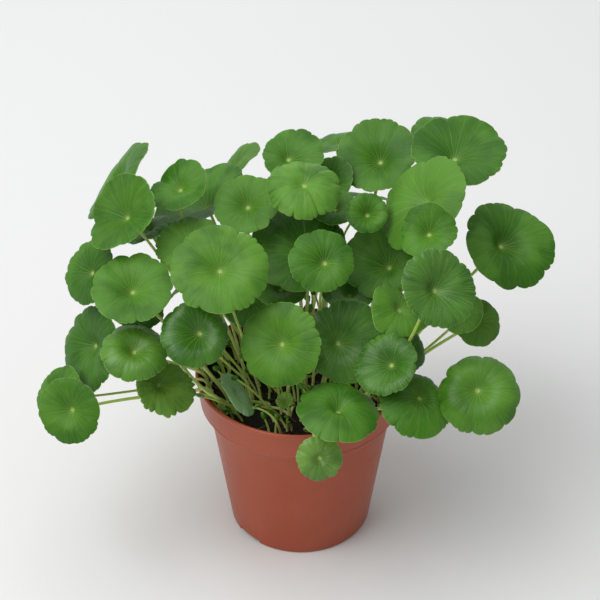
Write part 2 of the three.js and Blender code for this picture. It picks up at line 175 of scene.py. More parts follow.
class MixSettings(bpy.types.PropertyGroup):
    crumb: length("Crumb", "Size of a crumb", 1.5 * MM)
    crumbs: number("Crumbs", "Crumbs on a square metre", 150000, min=0)
    fibre: length("Fibre", "Length of a rootlet", 13 * MM)
    fibres: number("Fibres", "Rootlets on a square metre", 14000, min=0)
    unevenness: length("Unevenness", "How far the surface rises and falls", 1.4 * MM)
    peat: colour("Peat", "Damp peat", (0.008, 0.006, 0.005))
    bark: colour("Bark", "Lighter bits of bark and root", (0.085, 0.052, 0.028))
    straw: colour("Straw", "Pale rootlets", (0.26, 0.18, 0.09))


class LeafSettings(bpy.types.PropertyGroup):
    thickness: length("Thickness", "Thickness of a blade", 0.55 * MM)
    petiole_foot: length("Petiole foot", "Radius of a petiole at the mix", 0.95 * MM)
    petiole_neck: length("Petiole neck", "Radius of a petiole under its blade", 0.75 * MM)
    petiole_flare: length("Petiole flare", "How far a petiole widens into its blade", 0.5 * MM)
    pleat: length("Pleat", "How far the blade sinks along its veins", 0.09 * MM)
    waver: share("Waver", "Uneven rise and fall of a blade, as a share of its width", 0.11)
    crenation: share("Crenation", "Depth of the small scallops on each lobe", 0.018)
    green: colour("Green", "Full-grown blade", (0.036, 0.150, 0.003))
    dark: colour("Dark green", "Old or shaded blade", (0.016, 0.084, 0.003))
    fresh: colour("Fresh green", "Young blade", (0.110, 0.285, 0.030))
    warm: colour("Warm green", "Blade that turns yellow", (0.135, 0.245, 0.006))
    pale: colour("Pale green", "Navel, veins and rim line", (0.340, 0.480, 0.120))
    underside: colour("Underside", "Grey-green underside", (0.135, 0.300, 0.035))
    # The silver green also serves as painted light: besides the pale back of an unfolding leaf, it
    # lightens a leaf that lies in shade.
    silver_and_painted_light: colour("Silver green", "Back of a leaf that still unfolds", (0.300, 0.480, 0.260))
    # The petiole colours are lighter than the petioles' own colour: partly painted light on
    # petioles that the leaves above shade.
    stem: colour("Petiole", "Petiole near its blade", (0.420, 0.560, 0.100))
    stem_foot: colour("Petiole foot", "Petiole near the mix", (0.780, 0.830, 0.330))
    stem_brown: colour("Petiole brown", "Brown patches on a petiole", (0.30, 0.17, 0.06))
    roughness: share("Roughness", "Roughness of a blade's upper side", 0.38)


class ShootSettings(bpy.types.PropertyGroup):
    shoots: count("Shoots", "Young shoots", 110)
    tallest: length("Tallest", "Longest young shoot", 44 * MM)
    shortest: length("Shortest", "Shortest young shoot", 9 * MM)
    radius: length("Radius", "Radius of a shoot at the mix", 0.75 * MM)
    room: length("Room", "Least room between a shoot and any leaf", 1.5 * MM)
    apart: length("Apart", "Least room between two shoots' middle lines", 2.2 * MM)
    link: length("Link", "Longest stretch of runner between two petioles", 17 * MM)
    bud: length("Bud", "Length of the folded leaf on a shoot", 5.5 * MM)


class StageSettings(bpy.types.PropertyGroup):
    target: vector("Target", "Point the camera looks at", (0, 0, 0.153),
                   subtype="XYZ", unit="LENGTH")
    distance: length("Distance", "Camera to target", 0.9)
    elevation: number("Elevation", "Camera above the horizon", math.radians(35.5),
                      subtype="ANGLE")
    lens: number("Lens", "Focal length in millimetres", 97.6, unit="CAMERA")
    shift: number("Shift", "Camera shift to the side", -0.0008, precision=4)
    floor_size: length("Floor size", "Side of the floor", 12.0)
    floor: colour("Floor", "Pale seamless floor", (0.74, 0.74, 0.73))
    floor_shade: colour("Floor shade", "Faint patches on the floor", (0.69, 0.69, 0.68))
    sky: number("Sky", "Strength of the soft sky", 0.46)
    key: number("Key", "Main soft light", 54, unit="POWER")
    back: number("Back", "Broad light from behind", 9, unit="POWER")
    top: number("Top", "Soft light from above", 7, unit="POWER")


# ---- Node trees written as expressions ----------------------------------------------------------
def operator(operation, reflected=False):
    """A method that adds a math node for one of Python's operators."""
    def work(self, other):
        operands = (other, self) if reflected else (self, other)
        return self.tree.math(operation, *operands)
    return work


class Socket:
    """An output of a node tree. Operators on it add the nodes that work them out."""

    def __init__(self, tree, output):
        self.tree = tree
        self.output = output

    __add__, __radd__ = operator("ADD"), operator("ADD", True)
    __sub__, __rsub__ = operator("SUBTRACT"), operator("SUBTRACT", True)
    __mul__, __rmul__ = operator("MULTIPLY"), operator("MULTIPLY", True)
    __truediv__, __rtruediv__ = operator("DIVIDE"), operator("DIVIDE", True)
    __pow__, __rpow__ = operator("POWER"), operator("POWER", True)

    def __abs__(self):
        return self.math("ABSOLUTE")

    def math(self, operation, *others):
        return self.tree.math(operation, self, *others)

    def vector(self, operation, *others, output=0):
        values = dict(enumerate((self, *others)))
        return self.tree.node("ShaderNodeVectorMath", values, output, operation=operation)

    def length(self):
        return self.vector("LENGTH", output="Value")

    def scaled(self, factor):
        values = {0: self, "Scale": factor}
        return self.tree.node("ShaderNodeVectorMath", values, operation="SCALE")

    def part(self, axis):
        """One number of a vector: 0 for X, 1 for Y and 2 for Z."""
        return self.tree.node("ShaderNodeSeparateXYZ", {0: self}, axis)

    def smooth(self, low, high):
        """0 below low, 1 above high, and an even bend between them."""
        values = {"Value": self, "From Min": low, "From Max": high}
        return self.tree.node("ShaderNodeMapRange", values, interpolation_type="SMOOTHSTEP")


class Tree:
    """A shader or geometry tree that is built node by node."""

    def __init__(self, tree):
        self.tree = tree

    def node(self, kind, values=None, output=0, **settings):
        """Adds a node and gives one of its outputs. A list of sockets goes into one input."""
        node = self.tree.nodes.new(kind)
        for name, value in settings.items():
            setattr(node, name, value)
        for key, value in (values or {}).items():
            for source in value if isinstance(value, list) else [value]:
                if isinstance(source, Socket):
                    self.tree.links.new(source.output, node.inputs[key])
                else:
                    node.inputs[key].default_value = source
        return Socket(self, node.outputs[output])

    def math(self, operation, *operands):
        return self.node("ShaderNodeMath", dict(enumerate(operands)), operation=operation)

    def combine(self, x, y, z):
        return self.node("ShaderNodeCombineXYZ", {0: x, 1: y, 2: z})

    def mix(self, factor, first, second):
        """Goes from one colour to another."""
        first, second = (
            end if isinstance(end, Socket) else (*end, 1) for end in (first, second)
        )
        values = {0: factor, 6: first, 7: second}
        return self.node("ShaderNodeMix", values, 2, data_type="RGBA", clamp_factor=True)

    def blend(self, factor, first, second):
        """Goes from one number to another."""
        values = {0: factor, 2: first, 3: second}
        return self.node("ShaderNodeMix", values, data_type="FLOAT", clamp_factor=True)

    def noise(self, place, scale, detail=3.0, roughness=0.5):
        values = {"Vector": place, "Scale": scale, "Detail": detail, "Roughness": roughness}
        return self.node("ShaderNodeTexNoise", values)

    def bump(self, height, strength, distance):
        values = {"Strength": strength, "Distance": distance, "Height": height}
        return self.node("ShaderNodeBump", values)

    def attribute(self, name, output="Fac"):
        """What the mesh itself carries, in a shader."""
        return self.node("ShaderNodeAttribute", output=output, attribute_name=name)

    def place(self):
        """The object's own coordinates, in a shader."""
        return self.node("ShaderNodeTexCoord", output="Object")

    def random_vector(self, low, high, seed):
        """A vector of its own for each point of a geometry."""
        values = {"Min": low, "Max": high, "Seed": seed}
        return self.node("FunctionNodeRandomValue", values, data_type="FLOAT_VECTOR")

    def store(self, geometry, name, value):
        """Writes a number onto the geometry for its material to read."""
        values = {"Geometry": geometry, "Name": name, "Value": value}
        return self.node("GeometryNodeStoreNamedAttribute", values, data_type="FLOAT")

    def moved(self, geometry, offset):
        values = {"Geometry": geometry, "Offset": offset}
        return self.node("GeometryNodeSetPosition", values)

    def dressed(self, geometry, finish):
        values = {"Geometry": geometry, "Material": finish}
        return self.node("GeometryNodeSetMaterial", values)

    def tube(self, path, ring, girth):
        values = {"Curve": path, "Profile Curve": ring, "Scale": girth, "Fill Caps": True}
        return self.node("GeometryNodeCurveToMesh", values)

    def ring(self, sides):
        values = {"Resolution": sides, "Radius": 1.0}
        return self.node("GeometryNodeCurvePrimitiveCircle", values, mode="RADIUS")

    def placed(self, points, instance, **more):
        values = {"Points": points, "Instance": instance, **more}
        return self.node("GeometryNodeInstanceOnPoints", values)


def new_material(name, specular, roughness=0.5, coat_roughness=0.1):
    """An empty material: its tree, its shader and the material."""
    material = bpy.data.materials.new(name)
    material.use_nodes = True
    material.node_tree.nodes.clear()
    tree = Tree(material.node_tree)
    output = material.node_tree.nodes.new("ShaderNodeOutputMaterial")
    shader = material.node_tree.nodes.new("ShaderNodeBsdfPrincipled")
    shader.inputs["Specular IOR Level"].default_value = specular
    shader.inputs["Roughness"].default_value = roughness
    shader.inputs["Coat Roughness"].default_value = coat_roughness
    material.node_tree.links.new(shader.outputs[0], output.inputs["Surface"])
    return tree, shader, material


def feed(shader, **sockets):
    """Links what varies over a surface into its shader, such as base_color into Base Color."""
    for name, value in sockets.items():
        value.tree.tree.links.new(value.output, shader.inputs[name.replace("_", " ").title()])


# ---- Finishes -----------------------------------------------------------------------------------
def plastic_finish(settings):
    """Satin terracotta plastic with moulding streaks, scuffs and a little dust."""
    tree, shader, material = new_material("terracotta_plastic", 0.45)
    place = tree.place()
    cloud = tree.noise(place, 22.0, 4.0)
    stretch = tree.node("ShaderNodeMapping", {"Vector": place, "Scale": (1, 1, 0.08)})
    streaks = tree.noise(stretch, 260.0, 3.0)
    specks = tree.noise(place, 2600.0, 2.0).smooth(0.62, 0.75)
    rubbed = place.part(2).smooth(POT_HIGH.z - 2.2 * MM, POT_HIGH.z - 0.2 * MM)
    scuffs = tree.noise(place, 90.0, 6.0, 0.7).smooth(0.52, 0.72)
    pale = cloud.smooth(0.35, 0.75) * 0.35 + scuffs * 0.16 + rubbed * 0.25 + streaks * 0.14
    tone = tree.mix(pale, settings.plastic, settings.faded)
    dusty = tree.mix(specks * 0.22, tone, settings.dust)
    rough = streaks * 0.14 + scuffs * 0.12 + (settings.roughness - 0.1)
    relief = tree.noise(place, 1500.0, 2.0) * 0.5 + streaks
    feed(shader, base_color=dusty, roughness=rough, normal=tree.bump(relief, 0.12, 0.1 * MM))
    return material


def peat_finish(settings):
    """Damp peat with lighter bits in it."""
    tree, shader, material = new_material("damp_peat", 0.25)
    grain = tree.noise(tree.place(), 900.0, 6.0, 0.7)
    bits = tree.noise(tree.place(), 420.0, 3.0).smooth(0.60, 0.72)
    tone = tree.mix(bits * 0.7 + grain * 0.2, settings.peat, settings.bark)
    rough = grain * 0.3 + 0.62
    feed(shader, base_color=tone, roughness=rough, normal=tree.bump(grain, 0.9, 0.8 * MM))
    return material


def fibre_finish(settings):
    """Thin brown rootlets, some paler."""
    tree, shader, material = new_material("rootlets", 0.3)
    patches = tree.noise(tree.place(), 120.0, 2.0).smooth(0.4, 0.65)
    tone = tree.mix(patches, settings.bark, settings.straw)
    feed(shader, base_color=tone, roughness=patches * 0.2 + 0.55)
    return material


def vein_lines(tree, disc, out, radius):
    """1 along the veins, of which each lobe has one that forks halfway out, and 0 between."""
    lobes = tree.attribute("lobes")
    wander = (tree.noise(disc, 3.2, 2.0) - 0.5) * 0.5
    turns = disc.part(1).math("ARCTAN2", disc.part(0)) * lobes / math.pi + wander
    offset = abs((turns + 0.5).math("FRACT") - 0.5)
    fork = (out - 0.5).math("MAXIMUM", 0.0) * 0.55
    width = (0.24 - out * 0.12) * MM
    aside = abs(offset - fork) * out * radius * math.pi / lobes
    return 1.0 - (aside / width).smooth(0.3, 1.4)


def blade_finish(settings):
    """Glossy green with a pale navel, forking veins and a fine pale rim, with painted shade, light
    and sheen mixed into its colour.
    """
    tree, shader, material = new_material("pennywort_blade", 0.22, coat_roughness=0.3)
    disc = tree.attribute("disc", "Vector")
    names = ("radius", "under", "tone", "warmth", "grain", "gloss")
    radius, under, tone, warmth, grain, gloss = (tree.attribute(name) for name in names)
    out = disc.length()
    line = vein_lines(tree, disc, out, radius)
    direction = disc.vector("NORMALIZE")

    def rays(around, outward):
        """Streaks that run out from the navel, this fine around it and along it."""
        stretched = direction.scaled(around).vector("ADD", disc.scaled(outward))
        return tree.noise(stretched, 1.0, 4.0, 0.65)

    streak = rays(20.0, 1.2)
    furrow = rays(7.0, 0.8)
    place = tree.place()
    # Patches for the blade's own mottling and for its painted shade and painted sheen.
    cloud = tree.noise(place, 60.0, 3.0)
    mottle_and_sheen = tree.noise(place, 38.0, 2.0)
    cells = tree.node("ShaderNodeTexVoronoi", {"Vector": place, "Scale": 900.0},
                      feature="DISTANCE_TO_EDGE")
    net = 1.0 - cells.smooth(0.0, 0.16)

    span = out * radius
    navel = 1.0 - span.smooth(0.6 * MM, 1.7 * MM)
    star = (1.0 - span.smooth(0.5 * MM, 8.0 * MM)) * line
    edge = 1.0 - (radius - span).smooth(0.0, 0.5 * MM)

    # Painted shade and light: tone is each leaf's own shade of green, darkened further as painted
    # shade on leaves that lie in shadow, and lightened, above 1 up to pale, as painted light on
    # leaves that lie in shade but look lit.
    fresh = tree.mix(tone, settings.green, settings.fresh)
    fresh = tree.mix(tone - 1.0, fresh, settings.pale)
    body = tree.mix(0.0 - tone, fresh, settings.dark)
    body = tree.mix(warmth * 0.45, body, settings.warm)
    # Painted shade and sheen, partly the blade's own mottling: darker and lighter patches across
    # each blade stand in for the shading and soft sheen of its bends.
    body = tree.mix(cloud.smooth(0.38, 0.66) * 0.6, body, settings.dark)
    body = tree.mix(mottle_and_sheen.smooth(0.46, 0.6) * 0.4, body, settings.fresh)
    # Lighter streaks, stronger with grain, and darker furrows: the blade's fine radiating texture,
    # partly painted as streaks of sheen and shade.
    body = tree.mix(streak.smooth(0.45, 0.75) * grain * 0.34, body, settings.fresh)
    body = tree.mix(furrow.smooth(0.4, 0.7) * 0.2, body, settings.dark)
    veined = tree.mix(line * (0.16 - out * 0.12) + star * 0.22, body, settings.pale)
    spotted = tree.mix(navel * 0.75, veined, settings.pale)
    rimmed = tree.mix(edge * 0.5, spotted, settings.pale)
    below = tree.mix(line * 0.4, settings.underside, settings.pale)
    shown = tree.mix(under, rimmed, tree.mix(0.2, below, body))
    # Above 1, grey turns the upper side silver: partly the pale back of an unfolding leaf, partly
    # painted light on a leaf that lies in shade.
    shown = tree.mix(under - 1.0, shown, settings.silver_and_painted_light)
    satin = streak * 0.16 + (settings.roughness - 0.06) - gloss * 0.12
    rough = tree.blend(under, satin, 0.62)
    sheen = gloss * (1.0 - under) * (streak.smooth(0.3, 0.6) * 0.3 + 0.12)
    relief = (streak * 0.55 + net * 0.16) * grain + furrow * 0.8
    relief = relief * out.smooth(0.02, 0.3) - line * 0.35 * (1.0 - out * 0.6)
    feed(shader, base_color=shown, roughness=rough, coat_weight=sheen,
         normal=tree.bump(relief, 0.75, 0.36 * MM))
    return material


def petiole_finish(settings):
    """Olive green, paler and browner towards the mix, with fine lengthwise ridges that carry pale
    stripes of painted highlight.
    """
    tree, shader, material = new_material("pennywort_petiole", 0.45)
    along, around = tree.attribute("along"), tree.attribute("around")
    patches = tree.noise(tree.place(), 45.0, 3.0)
    lines = (around * (2 * math.pi * 9)).math("SINE")
    # Paler towards the mix; both petiole colours partly hold painted light on petioles that the
    # leaves above shade.
    tone = tree.mix(along.smooth(0.0, 0.65), settings.stem_foot, settings.stem)
    tone = tree.mix(patches.smooth(0.55, 0.8) * 0.3, tone, settings.stem_brown)
    # Painted highlights: pale stripes along the petiole's fine lengthwise ridges.
    tone = tree.mix(lines.smooth(0.2, 1.0) * 0.25, tone, settings.pale)
    tone = tree.mix(along.smooth(0.9, 1.0) * 0.5, tone, settings.pale)
    rough = patches * 0.2 + 0.28
    feed(shader, base_color=tone, roughness=rough, normal=tree.bump(lines, 0.25, 0.1 * MM))
    return material


def young_finish(settings):
    """Fresh green of a leaf that hasn't unfolded yet."""
    tree, shader, material = new_material("young_leaf", 0.4)
    patches = tree.noise(tree.place(), 400.0, 3.0)
    tone = tree.mix(patches.smooth(0.35, 0.65), settings.green, settings.fresh)
    rough = patches * 0.2 + 0.3
    feed(shader, base_color=tone, roughness=rough, normal=tree.bump(patches, 0.5, 0.4 * MM))
    return material


# ---- Meshes and geometry trees ------------------------------------------------------------------
def new_object(name, data):
    piece = bpy.data.objects.new(name, data)
    bpy.context.scene.collection.objects.link(piece)
    return piece


def mesh_from(name, points, faces):
    mesh = bpy.data.meshes.new(name)
    mesh.from_pydata([tuple(point) for point in points], [], faces)
    mesh.update()
    return mesh


def smooth_faces(mesh):
    mesh.polygons.foreach_set("use_smooth", [True] * len(mesh.polygons))


def evaluated(piece, name):
    """The piece with its modifiers worked out, as a plain mesh in an object of its own."""
    graph = bpy.context.evaluated_depsgraph_get()
    mesh = bpy.data.meshes.new_from_object(
        piece.evaluated_get(graph), preserve_all_data_layers=True, depsgraph=graph
    )
    mesh.name = name
    source = piece.data
    bpy.data.objects.remove(piece)
    if isinstance(source, bpy.types.Mesh):
        bpy.data.meshes.remove(source)
    return new_object(name, mesh)


def add_tree(piece, tree, values):
    """Gives a piece a geometry tree and sets the tree's inputs by their names."""
    modifier = piece.modifiers.new(tree.name, "NODES")
    modifier.node_group = tree
    for item in tree.interface.items_tree:
        if item.in_out == "INPUT" and item.name in values:
            modifier[item.identifier] = values[item.name]


def new_geometry_tree(name, **inputs):
    """An empty geometry tree with one geometry in and out, and its inputs' names by kind."""
    group = bpy.data.node_groups.new(name, "GeometryNodeTree")
    group.interface.new_socket("Geometry", in_out="INPUT", socket_type="NodeSocketGeometry")
    group.interface.new_socket("Geometry", in_out="OUTPUT", socket_type="NodeSocketGeometry")
    for kind, labels in inputs.items():
        for label in labels:
            group.interface.new_socket(label, in_out="INPUT", socket_type=f"NodeSocket{kind}")
    tree = Tree(group)
    entry = group.nodes.new("NodeGroupInput")
    return tree, {output.name: Socket(tree, output) for output in entry.outputs if output.name}


def finish_tree(tree, geometry):
    made = tree.node("GeometryNodeRealizeInstances", {0: geometry})
    leave = tree.tree.nodes.new("NodeGroupOutput")
    tree.tree.links.new(made.output, leave.inputs[0])
    return tree.tree


def settle(piece, slot, *nodes):
    """Fixes a finished piece to the part, in place of the solids that it stands for."""
    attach(piece, "root")
    if nodes:
        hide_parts(*nodes)


# ---- Pot ----------------------------------------------------------------------------------------
COLLAR_FROM = 0.8              # the collar lies above this share of the pot's height
SLOT_OUT = 1 * MM              # from the foot's edge out to the middle of a slot
DRAIN_SIDES = 32
SHARP = math.radians(40)       # edges that turn more than this stay sharp


def turned_corners(node):
    """The corners of a turned solid as radius and height: up its outside, and down its inside."""
    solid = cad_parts[node]
    outside, inside = set(), set()
    for vertex in solid.data.vertices:
        x, y, z = vertex.co
        if abs(y) < TINY and x > 0.5 * POT_HIGH.x:
            start = (x + 5 * TINY, 2 * TINY, z - 5 * TINY)
            covered = solid.ray_cast(start, (1, 0, 0))[0]
            (inside if covered else outside).add((round(x, 6), round(z, 6)))
    by_height = sorted(outside, key=lambda corner: (corner[1], -corner[0]))
    return by_height, sorted(inside, key=lambda corner: -corner[1])


def fillet(profile, size, steps=4):
    """Rounds each corner of a profile between its two ends."""
    rounded = [profile[0]]
    for corners in zip(profile, profile[1:], profile[2:]):
        before, corner, after = (Vector(point) for point in corners)
        first, second = before - corner, after - corner
        start = corner + first.normalized() * min(size, 0.45 * first.length)
        end = corner + second.normalized() * min(size, 0.45 * second.length)
        for step in range(steps + 1):
            along = step / steps
            one, two = start.lerp(corner, along), corner.lerp(end, along)
            rounded.append(tuple(one.lerp(two, along)))
    rounded.append(profile[-1])
    return rounded


def lathe(name, profile, sides):
    """Turns a profile about Z. Its first and last points lie on the axis."""
    points = [(0, 0, profile[0][1])]
    for radius, height in profile[1:-1]:
        for side in range(sides):
            angle = 2 * math.pi * side / sides
            points.append((radius * math.cos(angle), radius * math.sin(angle), height))
    points.append((0, 0, profile[-1][1]))
    last, top = len(points) - 1, len(points) - 1 - sides
    faces = []
    for side in range(sides):
        after = (side + 1) % sides
        faces.append((0, 1 + after, 1 + side))
        for low in range(1, top, sides):
            high = low + sides
            faces.append((low + side, low + after, high + after, high + side))
        faces.append((top + side, top + after, last))
    return mesh_from(name, points, faces)


def grooved(outside, settings):
    """Adds a fine groove to the pot's outside, close above the lower edge of its collar."""
    collar = min(corner for corner in outside if corner[1] > COLLAR_FROM * POT_HIGH.z)[1]
    cuts = (0, settings.seam_depth, settings.seam_depth, 0)
    made = []
    for low, high in zip(outside, outside[1:]):
        made.append(low)
        if abs(low[1] - collar) < TINY:
            slope = (high[0] - low[0]) / (high[1] - low[1])
            for step, cut in enumerate(cuts, 1):
                up = step * (0.5 * settings.seam_width)
                made.append((low[0] + slope * up - cut, low[1] + up))
    return [*made, outside[-1]]


def perforation_tree():
    """Drain holes round the middle of the floor, and slots through the foot's edge."""
    tree, given = new_geometry_tree(
        "Pot perforations", Int=("Drains", "Slots"), Vector=("Slot size",),
        Float=("Drain circle", "Drain radius", "Slot circle", "Slot turn", "Wall"),
    )

    def round_the_foot(amount, circle, turn, shape):
        angle = tree.node("GeometryNodeInputIndex") * (2 * math.pi) / amount
        place = tree.combine(angle.math("COSINE") * circle, angle.math("SINE") * circle, 0.0)
        points = tree.node("GeometryNodePoints", {"Count": amount, "Position": place})
        placed = tree.placed(points, shape, Rotation=tree.combine(0.0, 0.0, angle))
        values = {0: placed, "Rotation": tree.combine(0.0, 0.0, turn)}
        whole = tree.node("GeometryNodeTransform", values)
        return tree.node("GeometryNodeRealizeInstances", {0: whole})

    values = {"Vertices": DRAIN_SIDES, "Radius": given["Drain radius"],
              "Depth": given["Wall"] * 4.0}
    drain = tree.node("GeometryNodeMeshCylinder", values)
    slot = tree.node("GeometryNodeMeshCube", {"Size": given["Slot size"]})
    cutters = [
        round_the_foot(given["Drains"], given["Drain circle"], 0.0, drain),
        round_the_foot(given["Slots"], given["Slot circle"], given["Slot turn"], slot),
    ]
    values = {"Mesh 1": given["Geometry"], "Mesh 2": cutters}
    return finish_tree(
        tree, tree.node("GeometryNodeMeshBoolean", values, operation="DIFFERENCE")
    )


class PENNYWORT_OT_pot(bpy.types.Operator):
    """Makes the nursery pot with its rolled rim, collar seam, drains and side slots"""

    bl_idname = "pennywort.pot"
    bl_label = "Pot"

    def execute(self, context):
        settings = context.scene.pennywort_pot
        outside, inside = turned_corners("pot")
        wall = outside[1][0] - inside[-1][0]
        outline = fillet([*grooved(outside, settings), *inside], settings.fillet)
        profile = [(0, outside[0][1]), *outline, (0, inside[-1][1])]
        pot = new_object("pot_wall", lathe("pot_wall", profile, settings.sides))
        add_tree(pot, perforation_tree(), {
            "Drains": settings.drains, "Drain circle": settings.drain_circle,
            "Drain radius": settings.drain_radius, "Slots": settings.slots,
            "Slot circle": outside[0][0] + SLOT_OUT, "Slot size": settings.slot_size,
            "Slot turn": settings.slot_turn, "Wall": wall,
        })
        pot = evaluated(pot, "nursery_pot")
        smooth_faces(pot.data)
        pot.data.set_sharp_from_angle(angle=SHARP)
        pot.data.materials.clear()
        pot.data.materials.append(plastic_finish(settings))
        settle(pot, "pot_plastic", "pot")
        return {"FINISHED"}


# ---- Potting mix --------------------------------------------------------------------------------
MIX_SIDES = 96
MIX_RINGS = 30
LEVEL_EDGE = 4 * MM            # the mix levels out over this width at the pot's wall
LUMPS = ((1.0, 90), (0.6, 260))   # height and fineness of each layer of lumps
BARE_EDGE = 2.5 * MM           # no crumbs lie this close to the wall
ROOTLET_EDGE = 7.5 * MM        # and no rootlets this close
ANY_TILT, LYING = 6.28, 0.5    # how far a crumb and a rootlet may tilt, in radians
THREAD = 0.018                 # a rootlet's radius as a share of its length


def mix_height(x, y, settings):
    """Height of the mix's uneven top. It is level where it meets the pot."""
    place = Vector((x, y, MIX_HIGH.z))
    inset = min(1, max(0, MIX_HIGH.x - place.xy.length) / LEVEL_EDGE)
    lumps = sum(height * noise.noise(place * fineness) for height, fineness in LUMPS)
    return MIX_HIGH.z + inset * settings.unevenness * lumps


def mix_body(outside, settings):
    """The mix as it fills the pot, with an uneven top."""
    rim, top = outside[-1]
    surface = [(rim * (1 - step / MIX_RINGS), top) for step in range(1, MIX_RINGS)]
    mesh = lathe("mix", [(0, outside[0][1]), *outside, *surface, (0, top)], MIX_SIDES)
    for vertex in mesh.vertices:
        if vertex.co.z > top - TINY:
            vertex.co.z = mix_height(vertex.co.x, vertex.co.y, settings)
    smooth_faces(mesh)
    return mesh


def scatter_tree(name, make_bit):
    """Bits of a kind strewn over the upward faces of the mix, apart from its very edge."""
    tree, given = new_geometry_tree(
        name, Float=("Density", "Size", "Spread", "Tilt"), Int=("Seed",), Material=("Finish",)
    )
    facing_up = tree.node("GeometryNodeInputNormal").part(2).math("GREATER_THAN", 0.5)
    flat = tree.node("GeometryNodeInputPosition").vector("MULTIPLY", (1, 1, 0))
    within = facing_up * flat.length().math("LESS_THAN", given["Spread"])
    points = tree.node("GeometryNodeDistributePointsOnFaces", {
        "Mesh": given["Geometry"], "Selection": within, "Density": given["Density"],
        "Seed": given["Seed"],
    })
    reach = tree.combine(given["Tilt"], given["Tilt"], 2 * math.pi)
    turn = tree.random_vector((0, 0, 0), (1, 1, 1), 3).vector("MULTIPLY", reach)
    size = tree.random_vector((0.45, 0.45, 0.4), (1.25, 1.1, 0.9), 5).scaled(given["Size"])
    placed = tree.placed(points, make_bit(tree), Rotation=turn, Scale=size)
    made = tree.node("GeometryNodeRealizeInstances", {0: placed})
    made = tree.node("GeometryNodeSetShadeSmooth", {0: made})
    return finish_tree(tree, tree.dressed(made, given["Finish"]))


def crumb(tree):
    """A lump one unit across."""
    ball = tree.node("GeometryNodeMeshIcoSphere", {"Radius": 0.5, "Subdivisions": 2})
    place = tree.node("GeometryNodeInputPosition")
    lumps = tree.node("ShaderNodeTexNoise", {"Vector": place, "Scale": 2.6}, "Color")
    return tree.moved(ball, lumps.vector("SUBTRACT", (0.5, 0.5, 0.5)).scaled(0.75))


def rootlet(tree):
    """A bent thread one unit long."""
    values = {"Resolution": 7, "Start": (-0.5, 0, 0), "Middle": (0.05, 0.34, 0.16),
              "End": (0.5, -0.06, 0.02)}
    bend = tree.node("GeometryNodeCurveQuadraticBezier", values)
    return tree.tube(bend, tree.ring(4), THREAD)


class PENNYWORT_OT_mix(bpy.types.Operator):
    """Makes the potting mix with its uneven top, crumbs and rootlets"""

    bl_idname = "pennywort.mix"
    bl_label = "Potting mix"

    def execute(self, context):
        settings = context.scene.pennywort_mix
        outside, _ = turned_corners("soil")
        rim = outside[-1][0]
        body = mix_body(outside, settings)
        peat, fibre = peat_finish(settings), fibre_finish(settings)

        def strew(name, make_bit, values):
            bits = new_object(f"{name}_on_mix", body.copy())
            add_tree(bits, scatter_tree(name, make_bit), values)
            settle(evaluated(bits, name), "potting_mix")

        strew("peat_crumbs", crumb, {
            "Density": settings.crumbs, "Size": settings.crumb, "Spread": rim - BARE_EDGE,
            "Tilt": ANY_TILT, "Finish": peat, "Seed": 4,
        })
        strew("rootlets", rootlet, {
            "Density": settings.fibres, "Size": settings.fibre, "Spread": rim - ROOTLET_EDGE,
            "Tilt": LYING, "Finish": fibre, "Seed": 9,
        })
        body.materials.append(peat)
        settle(new_object("potting_mix", body), "potting_mix", "soil")
        return {"FINISHED"}


# ---- Leaves -------------------------------------------------------------------------------------
SCALLOPS = 3                   # small scallops on a lobe
SCALLOP_STEPS = np.array((0, 0.08, 0.25, 0.5, 0.75, 0.92))   # its spokes, closer at its ends
RINGS = (0.04, 0.08, 0.13, 0.2, 0.28, 0.37, 0.47, 0.58, 0.69, 0.78, 0.86, 0.92, 0.97)
RIM_STEPS = (1.0, 0.55, 0.2, 0.05, 0.0)   # where the rounded rim has points, in half thicknesses
DEEP_NOTCH, KEPT = 0.08, 0.9   # a notch deeper than this share keeps this much of its depth
FUNNEL, HALFWAY = 0.24, 0.864  # width of the bend at the petiole, and its value halfway out
CURL_FROM = 0.6                # the rim curls beyond this share of the radius
STALK_SIDES = 10
STALK_STEP = 1.6 * MM


def merged(node):
    """A copy of a solid's mesh with its loose corners joined."""
    solid = bmesh.new()
    solid.from_mesh(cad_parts[node].data)
    bmesh.ops.remove_doubles(solid, verts=solid.verts, dist=2 * TINY)
    return solid


def neighbours(vertices):
    return {edge.other_vert(vertex) for vertex in vertices for edge in vertex.link_edges}


def spread_from(start):
    """The vertices level by level, away from the first ones."""
    levels = [set(start)]
    seen = set(start)
    while levels[-1]:
        levels.append(neighbours(levels[-1]) - seen)
        seen |= levels[-1]
    return levels[:-1]


def fitted(angles, values, orders):
    """A sum of waves of these orders through values round a circle, as a function."""
    def waves(angle):
        return [wave(order * angle) for order in orders for wave in (np.cos, np.sin)]
    table = np.column_stack([np.ones_like(angles), *waves(angles)])
    factors = np.linalg.lstsq(table, values, rcond=None)[0]
    return lambda angle: factors[0] + sum(
        factor * wave for factor, wave in zip(factors[1:], waves(angle))
    )


